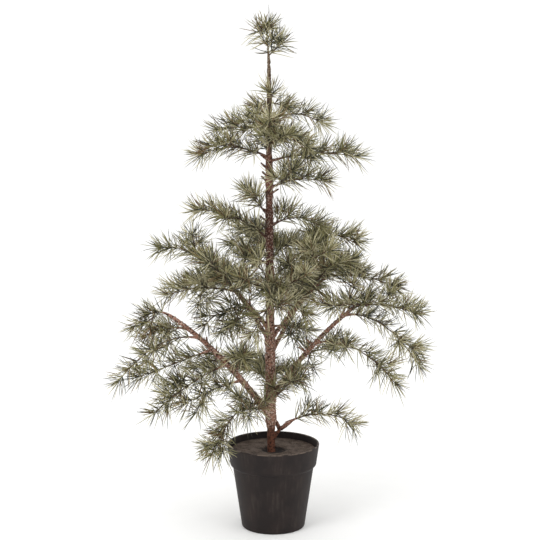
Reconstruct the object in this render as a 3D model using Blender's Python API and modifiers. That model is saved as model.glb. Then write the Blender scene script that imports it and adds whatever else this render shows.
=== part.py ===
"""Artificial deodar cedar, about 0.79 m tall, standing in its tapered nursery pot.

The pot is weighted with a solid fill, and the wrapped trunk stands on the fill. Boughs and
foliage masses grow from one skeleton: every bough and twig is a name, a place on its parent,
a compass turn, a rise, a reach and a droop. A mass is one stem with side twigs and tufts of
needles, and it keeps to the space that lies nearer to its own twigs than to any other.
Metres, +Z up, origin at the centre of the pot's underside, the photograph's view along +Y.
"""
import math
import random

import bmesh
import bpy
import numpy as np
from mathutils import Matrix, Vector

# Pot and fill
POT_HEIGHT = 0.130
RIM_R = 0.070
BAND_HEIGHT = 0.033
BAND_FOOT_R = 0.0655
SHOULDER_R = 0.0615
BASE_R = 0.0478
BASE_ROUND = 0.003
WALL = 0.003
FLOOR = 0.004
FILL_TOP = 0.120
HOLLOW_R = 0.020
HOLLOW_DEPTH = 0.003
POT_SIDES = 32
FILL_SIDES = 24

# Trunk
GAP = 0.0003
TRUNK_FOOT_Z = FILL_TOP - HOLLOW_DEPTH + GAP
TRUNK_TOP_Z = 0.704
TRUNK_R = 0.0080
TRUNK_TOP_R = 0.0028
TRUNK_END_R = 0.0017
TRUNK_END = 0.010
TRUNK_TAPER = 1.3
FLARE_R = 0.0012
FLARE_HEIGHT = 0.015
TRUNK_FOOT_X = -0.0030
TRUNK_LEAN = -0.0035
SPUR_LENGTH = 0.011
SPUR_R = 0.0017
SPUR_RISE = 40

# Twigs and needles
STEM_R = 0.0021
STEM_TIP_R = 0.0015
SIDE_R = 0.0017
TUFT_GAP = 0.0165
TUFT_BAND = 0.0036
ROOT_BARE = 0.011
NEEDLE = 0.026
NEEDLE_SPREAD = 0.15
LEAN = 54
UPRIGHT_LEAN = 22
TIP_LEAN = 32
LIFT = 0.16
LEAN_SPREAD = 9
SWING = 0.16
INTERNODE_TWIST = (15, 40)
TIP_CROWDING = 0.85
SPACE_MARGIN = 0.0012
LIMB_MARGIN = 0.0022
NEEDLE_GAP = 0.0020
NEEDLE_CHECKS = (0.2, 0.3, 0.4, 0.5, 0.6, 0.7, 0.8, 0.9, 1.0)
SHORTER = (1.0, 0.8, 0.6)
SEED = 41

# Detail of the solids
TRUNK_SIDES = 10
TRUNK_RINGS = 14
BOUGH_SIDES = 8
BOUGH_RINGS = 8
STEPS = 10
LIMB = -1  # the owner of trunk, boughs and spurs in the space test

# Boughs: parent, place on it (height on the trunk, share of the length on a bough),
# turn and rise in degrees, reach, droop, radius at root and tip
BOUGHS = {
    "bough_low_left": ("trunk", 0.170, -160, 55, 0.270, 0.055, 0.0052, 0.0030),
    "bough_low_right": ("trunk", 0.200, -15, 56, 0.235, 0.045, 0.0044, 0.0026),
    "bough_mid_right": ("trunk", 0.290, 20, 51, 0.145, 0.020, 0.0034, 0.0022),
    "bough_mid_left": ("trunk", 0.305, -170, 52, 0.120, 0.010, 0.0034, 0.0022),
    "bough_foot_right": ("trunk", 0.135, -5, 53, 0.040, 0.005, 0.0030, 0.0021),
    "bough_back_right": ("trunk", 0.265, 60, 42, 0.150, 0.025, 0.0034, 0.0022),
    "bough_back_left": ("trunk", 0.285, 125, 42, 0.140, 0.025, 0.0034, 0.0022),
}

# Masses: the first row is the stem on its parent, the others are side twigs on that stem:
# place, turn, rise, reach, droop
MASSES = {
    "leader": ("trunk", (0.704, 180, 86, 0.056, 0.0), (0.45, 190, 58, 0.024, 0.0), (0.2, 10, 42, 0.024, 0.0)),
    "collar": ("trunk", (0.640, -70, 52, 0.026, 0.0), (0.4, 200, -15, 0.020, 0.0), (0.4, -15, -15, 0.020, 0.0)),
    "top_left_upper": ("trunk", (0.607, 175, 13, 0.076, 0.018)),
    "top_left_high": ("trunk", (0.618, 160, -2, 0.046, 0.0)),
    "top_left_lower": ("trunk", (0.565, -165, 31, 0.116, 0.051), (0.4, -140, 20, 0.050, 0.010)),
    "top_front": ("trunk", (0.570, -90, 39, 0.095, 0.0), (0.45, -135, 55, 0.045, 0.0),
                  (0.3, -60, 20, 0.050, 0.0)),
    "top_right_upper": ("trunk", (0.620, 12, 29, 0.088, 0.046)),
    "top_right_long": ("trunk", (0.560, -5, 18, 0.132, 0.032), (0.35, -60, -5, 0.035, 0.0),
                       (0.7, 25, 8, 0.030, 0.005)),
    "top_right_near": ("trunk", (0.585, -40, 31, 0.085, 0.045)),
    "top_right_low": ("trunk", (0.520, 0, 27, 0.090, 0.030), (0.3, 90, 30, 0.040, 0.0),
                      (0.2, -75, 22, 0.070, 0.0)),
    "top_back": ("trunk", (0.565, 92, 36, 0.130, 0.032), (0.45, 45, 5, 0.055, 0.010)),
    "upper_left_long": ("trunk", (0.442, -165, 44, 0.154, 0.059), (0.45, -115, 5, 0.038, 0.0)),
    "upper_left_near": ("trunk", (0.405, -140, 27, 0.062, 0.0), (0.5, -110, 8, 0.040, 0.0)),
    "upper_left_high": ("trunk", (0.478, 145, 40, 0.054, 0.0), (0.35, -120, 50, 0.026, 0.0)),
    "upper_right_long": ("trunk", (0.462, 0, 36, 0.096, 0.056), (0.12, 45, 45, 0.026, 0.0)),
    "upper_right_arch": ("trunk", (0.375, 18, 50, 0.196, 0.080), (0.85, -15, -20, 0.030, 0.0),
                         (0.55, 85, 14, 0.060, 0.0)),
    "upper_back_left": ("trunk", (0.425, 108, 22, 0.150, 0.042), (0.45, 75, -8, 0.060, 0.005),
                        (0.6, 170, -35, 0.035, 0.0)),
    "upper_back_right": ("trunk", (0.405, 75, 22, 0.160, 0.048), (0.45, 140, -8, 0.055, 0.005),
                         (0.55, 20, 10, 0.060, 0.010)),
    "mid_right_tip": ("bough_mid_right", (1.0, -25, 11, 0.110, 0.028)),
    "mid_right_high": ("bough_mid_right", (0.62, 5, 57, 0.116, 0.050), (0.6, -15, 5, 0.045, 0.005),
                       (0.3, 80, 45, 0.060, 0.010)),
    "mid_right_near": ("bough_mid_right", (0.45, -70, 58, 0.125, 0.0), (0.7, -55, 35, 0.065, 0.010),
                       (0.4, -120, 45, 0.055, 0.005)),
    "mid_right_front": ("bough_mid_right", (0.68, -65, 43, 0.117, 0.020), (0.45, -10, 35, 0.060, 0.010)),
    "low_right_tip": ("bough_low_right", (1.0, 20, 2, 0.098, 0.020), (0.4, -30, 56, 0.030, 0.005),
                      (0.3, -150, 8, 0.080, 0.005), (0.6, -45, 0, 0.042, 0.005)),
    "low_right_long": ("bough_low_right", (0.86, 0, 11, 0.112, 0.095),
                       (0.62, -35, -22, 0.042, 0.008), (0.75, 35, -25, 0.030, 0.005)),
    "low_right_near": ("bough_low_right", (0.52, -25, 18, 0.134, 0.088), (0.7, -50, -15, 0.042, 0.008), (0.35, -85, 12, 0.042, 0.005)),
    "low_right_up": ("bough_low_right", (0.82, -10, 68, 0.055, 0.0), (0.5, 25, 12, 0.036, 0.0), (0.4, -165, 5, 0.042, 0.0)),
    "low_right_dark": ("bough_low_right", (0.36, 55, 15, 0.095, 0.030), (0.28, -112, -45, 0.045, 0.0)),
    "low_right_inner": ("trunk", (0.310, -35, 18, 0.068, 0.018), (0.45, -60, -25, 0.036, 0.0)),
    "foot_right_front": ("trunk", (0.190, -50, 52, 0.108, 0.036), (0.5, -15, 55, 0.038, 0.0)),
    "foot_right": ("bough_foot_right", (1.0, -15, 32, 0.122, 0.058)),
    "low_left_tip": ("bough_low_left", (1.0, 165, 34, 0.070, 0.056), (0.4, -110, 14, 0.025, 0.025)),
    "low_left_upper": ("bough_low_left", (0.83, 155, 8, 0.073, 0.027), (0.4, 100, -10, 0.040, 0.010)),
    "low_left_long": ("bough_low_left", (0.72, -160, 17, 0.130, 0.091), (0.5, -110, -2, 0.045, 0.015)),
    "low_left_under": ("bough_low_left", (0.60, 175, -22, 0.120, 0.0)),
    "low_left_near": ("bough_low_left", (0.45, -140, -10, 0.135, 0.028), (0.4, -165, -3, 0.046, 0.005), (0.65, -115, 2, 0.036, 0.005)),
    "low_left_hang": ("bough_low_left", (0.30, -160, -7, 0.085, 0.016), (0.65, -110, -20, 0.045, 0.005)),
    "low_left_back": ("bough_low_left", (0.55, 95, -22, 0.100, 0.010), (0.45, 150, -15, 0.045, 0.005)),
    "low_left_inner": ("bough_low_left", (0.36, -80, 46, 0.098, 0.030), (0.45, -85, 30, 0.035, 0.0)),
    "foot_left": ("trunk", (0.180, -134, 40, 0.162, 0.145), (0.38, -150, 40, 0.044, 0.0),
                  (0.65, 175, -50, 0.055, 0.005), (0.8, -95, -50, 0.034, 0.0), (0.35, -92, 3, 0.040, 0.010)),
    "mid_left_tip": ("bough_mid_left", (1.0, -175, 50, 0.138, 0.062), (0.42, -100, 55, 0.040, 0.0)),
    "mid_left_far": ("bough_mid_left", (0.85, 152, 6, 0.098, 0.022), (0.45, 90, 0, 0.045, 0.010)),
    "mid_left_long": ("bough_mid_left", (0.7, -175, 15, 0.104, 0.030), (0.5, -95, -28, 0.040, 0.0)),
    "mid_left_near": ("bough_mid_left", (0.55, -120, 38, 0.115, 0.0), (0.55, -170, 45, 0.050, 0.005)),
    "mid_left_under": ("bough_mid_left", (0.32, -148, 31, 0.100, 0.062), (0.42, -78, -15, 0.055, 0.005),
                       (0.6, -100, -42, 0.040, 0.0), (0.2, -130, -32, 0.045, 0.0)),
    "front": ("trunk", (0.360, -85, 12, 0.115, 0.020), (0.3, -130, 32, 0.085, 0.010),
              (0.35, -40, 36, 0.080, 0.010), (0.4, -125, 60, 0.066, 0.0), (0.6, -145, -52, 0.064, 0.0), (0.6, -30, -12, 0.050, 0.005)),
    "back_right_tip": ("bough_back_right", (1.0, 85, 22, 0.090, 0.040), (0.3, 130, -5, 0.045, 0.005),
                       (0.35, 110, 20, 0.055, 0.015)),
    "back_right_up": ("bough_back_right", (0.5, 85, 60, 0.100, 0.010), (0.4, 30, 35, 0.050, 0.010)),
    "back_left_tip": ("bough_back_left", (1.0, 115, 22, 0.090, 0.040), (0.3, 165, 5, 0.055, 0.010),
                      (0.35, 80, 20, 0.055, 0.015)),
    "back_left_up": ("bough_back_left", (0.5, 100, 60, 0.100, 0.010), (0.4, 145, 35, 0.050, 0.010)),
    "foot_back": ("trunk", (0.185, 95, 38, 0.190, 0.080), (0.4, 60, 5, 0.066, 0.010),
                  (0.45, 140, 12, 0.066, 0.015)),
}

# Bark spurs, the stubs of the wrapped core: parent, place, turn
SPURS = (
    ("trunk", 0.560, 175), ("trunk", 0.548, -170), ("trunk", 0.535, 160), ("trunk", 0.527, -150),
    ("trunk", 0.510, 10), ("trunk", 0.482, 170), ("trunk", 0.468, -165), ("trunk", 0.455, 150),
    ("bough_low_left", 0.66, 90), ("bough_low_left", 0.5, -60),
    ("bough_low_right", 0.42, 160), ("bough_low_right", 0.5, 150), ("bough_low_right", 0.74, -30),
    ("bough_foot_right", 0.55, 120), ("bough_foot_right", 0.6, 0),
)


def clear_scene():
    for item in list(bpy.data.objects):
        bpy.data.objects.remove(item, do_unlink=True)


def new_collection(name):
    made = bpy.data.collections.new(name)
    bpy.context.scene.collection.children.link(made)
    return made


def material(name, colour, roughness):
    made = bpy.data.materials.new(name)
    made.use_nodes = True
    shader = made.node_tree.nodes["Principled BSDF"]
    shader.inputs["Base Color"].default_value = (*colour, 1.0)
    shader.inputs["Roughness"].default_value = roughness
    shader.inputs["Metallic"].default_value = 0.0
    made.diffuse_color = (*colour, 1.0)
    return made


def add_object(name, data, collection, finish=None):
    made = bpy.data.objects.new(name, data)
    collection.objects.link(made)
    if finish:
        data.materials.append(finish)
    return made


def heading(turn, rise):
    turn, rise = math.radians(turn), math.radians(rise)
    return Vector((math.cos(rise) * math.cos(turn), math.cos(rise) * math.sin(turn), math.sin(rise)))


class Limb:
    """One tapering limb: a straight shot at a turn and rise, bent down by its droop."""

    def __init__(self, base, turn, rise, reach, droop, root_r, tip_r):
        self.base = base
        self.aim = heading(turn, rise)
        self.reach = reach
        self.droop = droop
        self.root_r = root_r
        self.tip_r = tip_r

    def point(self, share):
        return self.base + self.aim * (self.reach * share) - Vector((0, 0, self.droop * share ** 2))

    def along(self, share):
        return (self.aim * self.reach - Vector((0, 0, 2 * self.droop * share))).normalized()

    def radius(self, share):
        return self.root_r + (self.tip_r - self.root_r) * share


class Trunk:
    """The trunk's axis and radius, addressed by height above the pot's underside."""

    def share(self, height):
        return (height - TRUNK_FOOT_Z) / (TRUNK_TOP_Z - TRUNK_FOOT_Z)

    def point(self, height):
        bow = 1 - (1 - self.share(height)) ** 2
        return Vector((TRUNK_FOOT_X + TRUNK_LEAN * bow, 0, height))

    def along(self, height):
        return (self.point(height + GAP) - self.point(height - GAP)).normalized()

    def radius(self, height):
        taper = TRUNK_R + (TRUNK_TOP_R - TRUNK_R) * max(self.share(height), 0) ** TRUNK_TAPER
        flare = max(0, 1 - (height - TRUNK_FOOT_Z) / FLARE_HEIGHT)
        end = min(1, max(0, (TRUNK_TOP_Z - height) / TRUNK_END))
        return TRUNK_END_R + (taper - TRUNK_END_R) * end ** 0.5 + FLARE_R * flare ** 2


def plan_skeleton():
    """Place every bough and twig. A mass's own twigs share its name."""
    limbs = {"trunk": Trunk()}
    for name, (parent, place, turn, rise, reach, droop, root_r, tip_r) in BOUGHS.items():
        base = limbs[parent].point(place)
        limbs[name] = Limb(base, turn, rise, reach, droop, root_r, tip_r)
    masses = {}
    for name, (parent, stem_row, *side_rows) in MASSES.items():
        place, turn, rise, reach, droop = stem_row
        stem = Limb(limbs[parent].point(place), turn, rise, reach, droop, STEM_R, STEM_TIP_R)
        sides = []
        for place, turn, rise, reach, droop in side_rows:
            sides.append(Limb(stem.point(place), turn, rise, reach, droop, SIDE_R, STEM_TIP_R))
        masses[name] = (limbs[parent], stem_row[0], [stem, *sides])
    return limbs, masses


def plan_spurs(limbs):
    spurs = {}
    for parent, place, turn in SPURS:
        base = limbs[parent].point(place)
        reach = limbs[parent].radius(place) + SPUR_LENGTH
        spurs.setdefault(parent, []).append(Limb(base, turn, SPUR_RISE, reach, 0, SPUR_R, SPUR_R / 2))
    return spurs


class Space:
    """Tells whose skeleton a point is nearest to, and how far it is from every limb."""

    def __init__(self, limbs, spurs, masses):
        self.rows = []
        self.names = {name: index for index, name in enumerate(masses)}
        for name, limb in limbs.items():
            low, high = (TRUNK_FOOT_Z, TRUNK_TOP_Z) if name == "trunk" else (0.0, 1.0)
            self.add(limb, low, high, LIMB)
            for spur in spurs.get(name, []):
                self.add(spur, 0.0, 1.0, LIMB)
        for name, (_, _, twigs) in masses.items():
            for twig in twigs:
                self.add(twig, 0.0, 1.0, self.names[name])
        columns = (np.array(column) for column in zip(*self.rows))
        self.start, self.run, self.radius, self.taper, self.owner = columns

    def add(self, limb, low, high, owner):
        step = (high - low) / STEPS
        for share in (low + step * index for index in range(STEPS)):
            start = limb.point(share)
            run = limb.point(share + step) - start
            taper = limb.radius(share + step) - limb.radius(share)
            self.rows.append((tuple(start), tuple(run), limb.radius(share), taper, owner))

    def distances(self, points):
        """Each point's distance from every axis, and from the round surface about it."""
        offset = points[:, None] - self.start[None]
        share = np.clip((offset * self.run).sum(2) / (self.run ** 2).sum(1), 0, 1)
        from_axis = np.linalg.norm(offset - share[..., None] * self.run, axis=2)
        return from_axis, from_axis - self.radius - share * self.taper

    def limb_clearance(self, points):
        from_surface = self.distances(points)[1]
        return from_surface[:, self.owner == LIMB].min()

    def is_free(self, points, name):
        from_axis, from_surface = self.distances(points)
        limb = self.owner == LIMB
        own = self.owner == self.names[name]
        nearest_own = from_axis[:, own].min(1)
        in_cell = (nearest_own + SPACE_MARGIN < from_axis[:, ~limb & ~own].min(1)).all()
        off_limbs = from_surface[:, limb].min() > LIMB_MARGIN
        off_twigs = nearest_own.min() > STEM_R
        return in_cell and off_limbs and off_twigs and off_pot(points)


def off_pot(points):
    reach = np.hypot(points[:, 0], points[:, 1])
    above = points[:, 2] > POT_HEIGHT + LIMB_MARGIN
    return (above | (reach > RIM_R + LIMB_MARGIN)).all()


def section(limb, share, turn):
    """Three corners of a twig's section at one share of its length."""
    along = limb.along(share)
    side = along.cross(Vector((0, 0, 1))).normalized()
    up = side.cross(along)
    corners = []
    for angle in (math.radians(turn + 120 * corner) for corner in range(3)):
        out = side * math.cos(angle) + up * math.sin(angle)
        corners.append(limb.point(share) + out * limb.radius(share))
    return corners


def clear_start(stem, limb, place, space):
    """The first share of a stem whose whole section stands clear of the limb's side or flat end."""
    at_end = place in (1.0, TRUNK_TOP_Z)
    step = GAP / stem.reach / 4
    share = 0.0
    while True:
        corners = section(stem, share, 0)
        if at_end:
            clearance = min((corner - limb.point(place)).dot(limb.along(place)) for corner in corners)
        else:
            clearance = space.limb_clearance(np.array(corners))
        if clearance >= GAP:
            return share
        share += step


def tuft_places(twig, start):
    """Shares of a twig's length where its tufts sit, closer at the tip."""
    bare = start + ROOT_BARE / twig.reach
    room = 1 - TUFT_BAND / twig.reach - bare
    gaps = max(1, round(room * twig.reach / TUFT_GAP))
    return [bare + room * (index / gaps) ** TIP_CROWDING for index in range(gaps + 1)]


def grow_twig(twig, start, name, space, needles, rng):
    """Loft a three-sided twig, then poke its short bands out into tufts of needles."""
    grown = bmesh.new()
    turn = 0.0
    band = TUFT_BAND / twig.reach
    rings = [(start, turn)]
    for place in tuft_places(twig, start):
        turn += rng.uniform(*INTERNODE_TWIST)
        rings.append((place, turn))
        turn += 60
        rings.append((place + band, turn))
    loops = [[grown.verts.new(corner) for corner in section(twig, *ring)] for ring in rings]
    grown.faces.new(loops[0])
    tip_face = grown.faces.new(reversed(loops[-1]))
    bands = []
    for lower, upper in zip(loops, loops[1:]):
        sides = []
        for corner in range(3):
            after = (corner + 1) % 3
            sides.append(grown.faces.new((lower[after], lower[corner], upper[corner], upper[after])))
        bands.append(sides)
    places = [ring[0] for ring in rings]
    tufts = list(zip(places, bands))[1::2]
    for place, sides in tufts:
        lean = TIP_LEAN if place == places[-2] else LEAN
        parts = bmesh.ops.triangulate(grown, faces=sides, quad_method="SHORT_EDGE")["faces"]
        for face in parts:
            poke_needle(grown, face, twig, place, lean, name, space, needles, rng)
    poke_needle(grown, tip_face, twig, places[-1], 0, name, space, needles, rng)
    bmesh.ops.triangulate(grown, faces=grown.faces[:])
    bmesh.ops.recalc_face_normals(grown, faces=grown.faces[:])
    return grown


def needle_aim(root, twig, place, lean, rng):
    """Outward from the twig, leaning forward and a little up."""
    along = twig.along(place)
    outward = root - twig.point(place)
    outward -= along * outward.dot(along)
    outward = outward.normalized() if outward.length > GAP else Vector((0, 0, 0))
    swing = along.cross(outward) * rng.uniform(-SWING, SWING)
    upright = UPRIGHT_LEAN * max(0, along.z) ** 4
    lean = math.radians(lean + upright + rng.uniform(-LEAN_SPREAD, LEAN_SPREAD))
    aim = along * math.cos(lean) + (outward + swing) * math.sin(lean) + Vector((0, 0, LIFT))
    return aim.normalized()


def poke_needle(grown, face, twig, place, lean, name, space, needles, rng):
    """Pull one small face out into a needle, shorter or not at all where it has no room."""
    root = face.calc_center_median()
    aim = needle_aim(root, twig, place, lean, rng)
    length = NEEDLE * (1 + rng.uniform(-NEEDLE_SPREAD, NEEDLE_SPREAD))
    for shorter in SHORTER:
        tip = root + aim * (length * shorter)
        points = np.array([root.lerp(tip, share) for share in NEEDLE_CHECKS])
        if space.is_free(points, name) and clear_of(points, needles):
            needles.append(points)
            poked = bmesh.ops.poke(grown, faces=[face])
            poked["verts"][0].co = tip
            return


def clear_of(points, needles):
    """Whether a needle passes the others of its mass by more than their thickness."""
    if not needles:
        return True
    placed = np.concatenate(needles)
    return np.linalg.norm(points[:, None] - placed[None], axis=2).min() > NEEDLE_GAP


def tube(name, points, radii, sides, collection):
    """A capped curve tube, made a closed mesh object."""
    curve = bpy.data.curves.new(name, "CURVE")
    curve.dimensions = "3D"
    curve.bevel_depth = 1.0
    curve.bevel_resolution = sides // 2 - 2
    curve.use_fill_caps = True
    spline = curve.splines.new("POLY")
    spline.points.add(len(points) - 1)
    for control, point, radius in zip(spline.points, points, radii):
        control.co = (*point, 1.0)
        control.radius = radius
    guide = add_object(name + "_guide", curve, collection)
    bpy.context.view_layer.update()
    mesh = bpy.data.meshes.new_from_object(guide.evaluated_get(bpy.context.evaluated_depsgraph_get()))
    bpy.data.objects.remove(guide, do_unlink=True)
    bpy.data.curves.remove(curve)
    welded = bmesh.new()
    welded.from_mesh(mesh)
    bmesh.ops.remove_doubles(welded, verts=welded.verts[:], dist=1e-6)
    bmesh.ops.recalc_face_normals(welded, faces=welded.faces[:])
    welded.to_mesh(mesh)
    welded.free()
    mesh.name = name
    mesh.materials.clear()
    return add_object(name, mesh, collection)


def limb_tube(name, limb, low, high, count, grow, sides, collection):
    shares = [low + (high - low) * index / (count - 1) for index in range(count)]
    points = [limb.point(share) for share in shares]
    return tube(name, points, [limb.radius(share) + grow for share in shares], sides, collection)


def apply_boolean(item, operation, solver, operand=None, collection=None):
    cut = item.modifiers.new(operation.lower(), "BOOLEAN")
    cut.operation = operation
    cut.solver = solver
    if collection:
        cut.operand_type = "COLLECTION"
        cut.collection = collection
    else:
        cut.object = operand
    bpy.context.view_layer.update()
    mesh = bpy.data.meshes.new_from_object(item.evaluated_get(bpy.context.evaluated_depsgraph_get()))
    mesh.materials.clear()
    item.modifiers.clear()
    worn = item.data
    mesh.name = worn.name
    item.data = mesh
    bpy.data.meshes.remove(worn)


def join_into(item, pieces, scratch):
    """One union of an object with every piece, which are then removed."""
    for piece in pieces:
        scratch.objects.link(piece)
    apply_boolean(item, "UNION", "MANIFOLD", collection=scratch)
    for piece in pieces:
        bpy.data.objects.remove(piece, do_unlink=True)


def spur_objects(spurs):
    made = []
    for index, spur in enumerate(spurs):
        cone = bmesh.new()
        turned = spur.aim.to_track_quat("Z", "Y").to_matrix().to_4x4()
        place = Matrix.Translation(spur.point(0.5)) @ turned
        bmesh.ops.create_cone(cone, cap_ends=True, segments=5, radius1=spur.root_r, radius2=spur.tip_r,
                              depth=spur.reach, matrix=place)
        mesh = bpy.data.meshes.new(f"spur_{index}")
        cone.to_mesh(mesh)
        cone.free()
        made.append(bpy.data.objects.new(mesh.name, mesh))
    return made


def turned(name, profile, sides, collection, finish):
    """A turned piece: its profile runs from the axis over the outer side back to the axis."""
    mesh = bpy.data.meshes.new(name)
    edges = [(index, index + 1) for index in range(len(profile) - 1)]
    mesh.from_pydata([(radius, 0, height) for radius, height in profile], edges, [])
    piece = add_object(name, mesh, collection, finish)
    screw = piece.modifiers.new("turn", "SCREW")
    screw.steps = sides
    screw.render_steps = sides
    screw.use_merge_vertices = True
    screw.merge_threshold = 0.0001
    return piece


def wall_r(height):
    """Outer radius of the pot's plain wall below its band."""
    return BASE_R + (SHOULDER_R - BASE_R) * height / (POT_HEIGHT - BAND_HEIGHT)


def make_pot(collection, finish):
    band_foot = POT_HEIGHT - BAND_HEIGHT
    profile = (
        (0, FLOOR),
        (wall_r(FLOOR) - WALL, FLOOR),
        (SHOULDER_R - WALL, band_foot - WALL),
        (BAND_FOOT_R - WALL, band_foot + WALL),
        (RIM_R - WALL, POT_HEIGHT - WALL / 3),
        (RIM_R - 0.7 * WALL, POT_HEIGHT),
        (RIM_R - 0.25 * WALL, POT_HEIGHT),
        (RIM_R, POT_HEIGHT - WALL / 3),
        (BAND_FOOT_R, band_foot + 0.3 * WALL),
        (BAND_FOOT_R - 0.3 * WALL, band_foot),
        (SHOULDER_R, band_foot - WALL / 3),
        (wall_r(BASE_ROUND), BASE_ROUND),
        (wall_r(0) - 0.3 * BASE_ROUND, 0.3 * BASE_ROUND),
        (wall_r(0) - BASE_ROUND, 0),
        (0, 0),
    )
    return turned("pot", profile, POT_SIDES, collection, finish)


def inner_r(height):
    """Inner radius of the pot at the fill's levels."""
    band_foot = POT_HEIGHT - BAND_HEIGHT
    if height <= band_foot - WALL:
        share = (height - FLOOR) / (band_foot - WALL - FLOOR)
        return wall_r(FLOOR) - WALL + (SHOULDER_R - wall_r(FLOOR)) * share
    share = (height - band_foot - WALL) / (POT_HEIGHT - WALL / 3 - band_foot - WALL)
    return BAND_FOOT_R - WALL + (RIM_R - BAND_FOOT_R) * share


def make_fill(collection, finish):
    foot = FLOOR + GAP
    elbow = POT_HEIGHT - BAND_HEIGHT - WALL
    snug = 2 * GAP
    profile = (
        (0, FILL_TOP - HOLLOW_DEPTH),
        (0.7 * HOLLOW_R, FILL_TOP - HOLLOW_DEPTH),
        (HOLLOW_R, FILL_TOP),
        (inner_r(FILL_TOP) - snug, FILL_TOP),
        (inner_r(elbow + 2 * WALL) - snug, elbow + 2 * WALL),
        (inner_r(elbow) - snug, elbow),
        (inner_r(foot) - snug, foot),
        (0, foot),
    )
    return turned("fill", profile, FILL_SIDES, collection, finish)


def make_trunk(limbs, spurs, tree, scratch, finish):
    trunk = limb_tube("trunk", limbs["trunk"], TRUNK_FOOT_Z, TRUNK_TOP_Z, TRUNK_RINGS, 0.0, TRUNK_SIDES, tree)
    join_into(trunk, spur_objects(spurs["trunk"]), scratch)
    trunk.data.materials.append(finish)


def make_bough(name, limbs, spurs, tree, scratch, cutters, finish):
    """A tapering bough whose root is cut to the trunk's round."""
    bough = limb_tube(name, limbs[name], 0.0, 1.0, BOUGH_RINGS, 0.0, BOUGH_SIDES, tree)
    if name in spurs:
        join_into(bough, spur_objects(spurs[name]), scratch)
    apply_boolean(bough, "DIFFERENCE", "EXACT", operand=cutters.objects["trunk_cutter"])
    bough.data.materials.append(finish)


def make_mass(name, limb, place, twigs, space, tree, scratch, finish):
    """One foliage mass: its stem, with every side twig fused on."""
    rng = random.Random(f"{SEED} {name}")
    needles = []
    made = []
    for index, twig in enumerate(twigs):
        start = clear_start(twig, limb, place, space) if index == 0 else 0.0
        grown = grow_twig(twig, start, name, space, needles, rng)
        mesh = bpy.data.meshes.new(f"{name}_{index}" if index else name)
        grown.to_mesh(mesh)
        grown.free()
        made.append(bpy.data.objects.new(mesh.name, mesh))
    mass = made[0]
    tree.objects.link(mass)
    if len(made) > 1:
        join_into(mass, made[1:], scratch)
    mass.data.materials.append(finish)
    return len(needles)


def main():
    clear_scene()
    tree = new_collection("faux_deodar_cedar")
    scratch = new_collection("joining")
    cutters = new_collection("cutters")
    plastic = material("pot_plastic", (0.040, 0.033, 0.029), 0.85)
    cement = material("fill", (0.065, 0.050, 0.043), 0.95)
    bark = material("bark", (0.150, 0.062, 0.040), 0.90)
    foliage = material("needles", (0.105, 0.115, 0.052), 0.75)
    limbs, masses = plan_skeleton()
    spurs = plan_spurs(limbs)
    space = Space(limbs, spurs, masses)
    make_pot(tree, plastic)
    make_fill(tree, cement)
    make_trunk(limbs, spurs, tree, scratch, bark)
    cutter = limb_tube("trunk_cutter", limbs["trunk"], TRUNK_FOOT_Z, TRUNK_TOP_Z, TRUNK_RINGS, GAP,
                       TRUNK_SIDES, cutters)
    cutter.hide_render = True
    cutter.display_type = "WIRE"
    for name in BOUGHS:
        make_bough(name, limbs, spurs, tree, scratch, cutters, bark)
    needles = 0
    for name, (limb, place, twigs) in masses.items():
        needles += make_mass(name, limb, place, twigs, space, tree, scratch, foliage)
    print("masses", len(masses), "needles", needles)


main()
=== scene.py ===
# %% [markdown]
# # An artificial deodar cedar in its nursery pot
#
# The real thing is a made tree, about 0.79 m tall: a steel core wound with brown paper tape,
# branches of moulded plastic sprays, and a tapered charcoal pot weighted with a cast fill.
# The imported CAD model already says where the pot, the trunk, every bough and every mass of
# foliage stands. This script keeps those places and gives them their finish. It grows the
# foliage again from the same skeleton, with finer twigs and many more needles.

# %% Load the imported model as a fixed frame
import math

import bmesh
import bpy
import numpy as np
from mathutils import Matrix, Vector, noise


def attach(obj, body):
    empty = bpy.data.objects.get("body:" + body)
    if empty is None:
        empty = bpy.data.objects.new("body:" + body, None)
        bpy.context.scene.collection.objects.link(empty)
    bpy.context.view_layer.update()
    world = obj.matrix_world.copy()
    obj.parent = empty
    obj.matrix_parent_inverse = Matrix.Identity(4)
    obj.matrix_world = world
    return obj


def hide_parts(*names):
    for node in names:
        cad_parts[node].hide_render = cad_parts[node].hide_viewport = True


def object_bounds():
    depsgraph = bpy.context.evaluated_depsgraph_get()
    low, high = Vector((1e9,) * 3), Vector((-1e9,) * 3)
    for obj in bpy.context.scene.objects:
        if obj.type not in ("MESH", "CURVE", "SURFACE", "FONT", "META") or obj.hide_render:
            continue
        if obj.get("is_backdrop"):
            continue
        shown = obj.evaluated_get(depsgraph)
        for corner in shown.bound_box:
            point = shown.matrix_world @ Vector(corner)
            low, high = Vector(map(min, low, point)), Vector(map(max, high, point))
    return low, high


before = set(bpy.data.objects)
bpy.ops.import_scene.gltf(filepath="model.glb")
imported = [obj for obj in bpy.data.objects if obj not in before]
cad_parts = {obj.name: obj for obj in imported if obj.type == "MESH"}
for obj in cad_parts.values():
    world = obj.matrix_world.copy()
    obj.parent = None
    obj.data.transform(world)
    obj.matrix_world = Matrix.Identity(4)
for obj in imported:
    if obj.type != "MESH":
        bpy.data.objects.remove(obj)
CAD_BOX = [list(corner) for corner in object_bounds()]
print("CAD nodes:", len(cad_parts))
print("CAD box in mm:", [[round(value * 1000, 1) for value in corner] for corner in CAD_BOX])

# %% [markdown]
# ## The camera
#
# The photograph was taken from a little above the middle of the tree with a long lens, so the
# pot's rim shows as a flat ellipse and the trunk hardly converges. A camera 2.5 m away does
# the same. Its focal length comes from the tree's height in pixels, in a square picture.

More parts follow.
